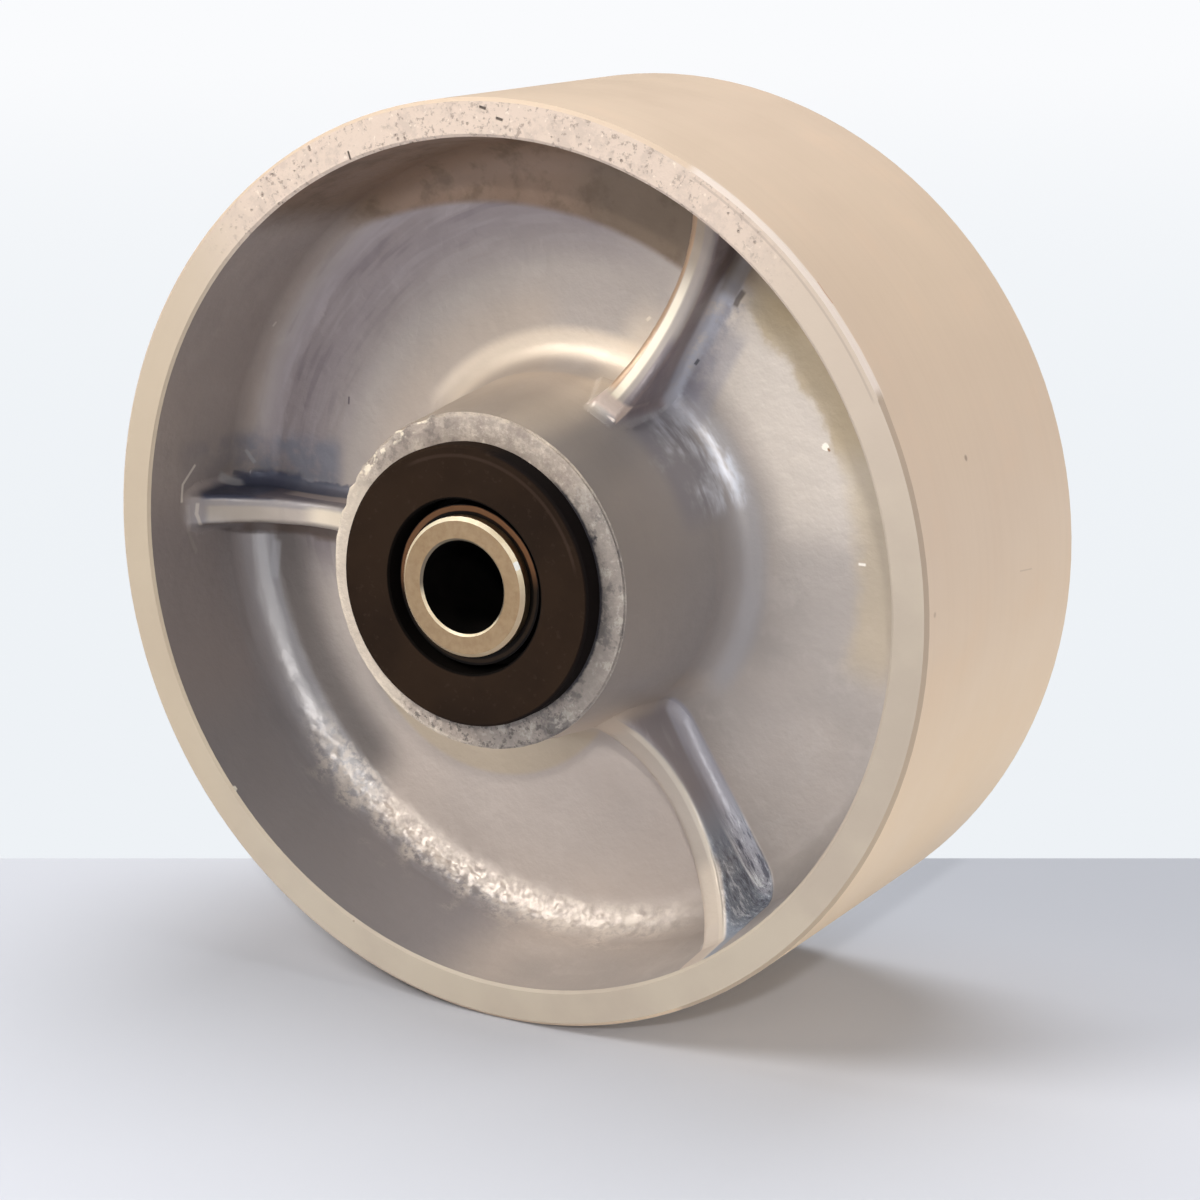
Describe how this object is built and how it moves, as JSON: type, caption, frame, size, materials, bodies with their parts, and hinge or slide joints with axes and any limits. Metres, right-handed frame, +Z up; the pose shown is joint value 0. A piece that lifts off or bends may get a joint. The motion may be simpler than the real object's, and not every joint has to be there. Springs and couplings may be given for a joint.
{
  "type": "cast iron caster wheel",
  "caption": "Solid cast iron wheel with a wide flat tread, deep webbed sides with three ribs, a roller bearing hub and a steel axle sleeve.",
  "frame": {"origin": "centre of the wheel: the middle of the axle bore, halfway between the rim faces", "axes": "+Y along the axle to the rear side, +Z up, +X to the right as seen from the front; the side that the picture shows faces -Y"},
  "size_m": [0.2, 0.101, 0.2],
  "materials": {
    "cast_iron": "turned bare on tread, rim and hub faces, as cast with thin silver paint in the recesses",
    "sleeve_steel": "turned and hardened",
    "cage_steel": "rolled sheet",
    "roller_steel": "ground",
    "bronze": "dull, oily",
    "cap_plastic": "moulded, matt brown-black"
  },
  "bodies": {
    "axle": {"axle_sleeve": "sleeve_steel", "front_thrust_washer": "bronze", "rear_thrust_washer": "bronze"},
    "wheel": {"wheel_casting": "cast_iron", "front_dust_cap": "cap_plastic", "rear_dust_cap": "cap_plastic"},
    "cage": {"bearing_cage": "cage_steel"},
    "roller_01": {"roller_01": "roller_steel"},
    "roller_02": {"roller_02": "roller_steel"},
    "roller_03": {"roller_03": "roller_steel"},
    "roller_04": {"roller_04": "roller_steel"},
    "roller_05": {"roller_05": "roller_steel"},
    "roller_06": {"roller_06": "roller_steel"},
    "roller_07": {"roller_07": "roller_steel"},
    "roller_08": {"roller_08": "roller_steel"},
    "roller_09": {"roller_09": "roller_steel"},
    "roller_10": {"roller_10": "roller_steel"}
  },
  "joints": [
    {"name": "wheel_spin", "type": "hinge", "parent": "axle", "child": "wheel", "pos_m": [0, 0, 0], "axis": [0, 1, 0], "continuous": true},
    {"name": "cage_spin", "type": "hinge", "parent": "axle", "child": "cage", "pos_m": [0, 0, 0], "axis": [0, 1, 0], "continuous": true},
    {"name": "roller_01_spin", "type": "hinge", "parent": "cage", "child": "roller_01", "pos_m": [0.02, 0, 0], "axis": [0, 1, 0], "continuous": true},
    {"name": "roller_02_spin", "type": "hinge", "parent": "cage", "child": "roller_02", "pos_m": [0.01618, 0, 0.01176], "axis": [0, 1, 0], "continuous": true},
    {"name": "roller_03_spin", "type": "hinge", "parent": "cage", "child": "roller_03", "pos_m": [0.00618, 0, 0.01902], "axis": [0, 1, 0], "continuous": true},
    {"name": "roller_04_spin", "type": "hinge", "parent": "cage", "child": "roller_04", "pos_m": [-0.00618, 0, 0.01902], "axis": [0, 1, 0], "continuous": true},
    {"name": "roller_05_spin", "type": "hinge", "parent": "cage", "child": "roller_05", "pos_m": [-0.01618, 0, 0.01176], "axis": [0, 1, 0], "continuous": true},
    {"name": "roller_06_spin", "type": "hinge", "parent": "cage", "child": "roller_06", "pos_m": [-0.02, 0, 0], "axis": [0, 1, 0], "continuous": true},
    {"name": "roller_07_spin", "type": "hinge", "parent": "cage", "child": "roller_07", "pos_m": [-0.01618, 0, -0.01176], "axis": [0, 1, 0], "continuous": true},
    {"name": "roller_08_spin", "type": "hinge", "parent": "cage", "child": "roller_08", "pos_m": [-0.00618, 0, -0.01902], "axis": [0, 1, 0], "continuous": true},
    {"name": "roller_09_spin", "type": "hinge", "parent": "cage", "child": "roller_09", "pos_m": [0.00618, 0, -0.01902], "axis": [0, 1, 0], "continuous": true},
    {"name": "roller_10_spin", "type": "hinge", "parent": "cage", "child": "roller_10", "pos_m": [0.01618, 0, -0.01176], "axis": [0, 1, 0], "continuous": true}
  ],
  "couplings": [
    {"joint": "cage_spin", "follows": "wheel_spin", "ratio": 0.625},
    {"joint": "roller_01_spin", "follows": "wheel_spin", "ratio": 1.875},
    {"joint": "roller_02_spin", "follows": "wheel_spin", "ratio": 1.875},
    {"joint": "roller_03_spin", "follows": "wheel_spin", "ratio": 1.875},
    {"joint": "roller_04_spin", "follows": "wheel_spin", "ratio": 1.875},
    {"joint": "roller_05_spin", "follows": "wheel_spin", "ratio": 1.875},
    {"joint": "roller_06_spin", "follows": "wheel_spin", "ratio": 1.875},
    {"joint": "roller_07_spin", "follows": "wheel_spin", "ratio": 1.875},
    {"joint": "roller_08_spin", "follows": "wheel_spin", "ratio": 1.875},
    {"joint": "roller_09_spin", "follows": "wheel_spin", "ratio": 1.875},
    {"joint": "roller_10_spin", "follows": "wheel_spin", "ratio": 1.875}
  ]
}
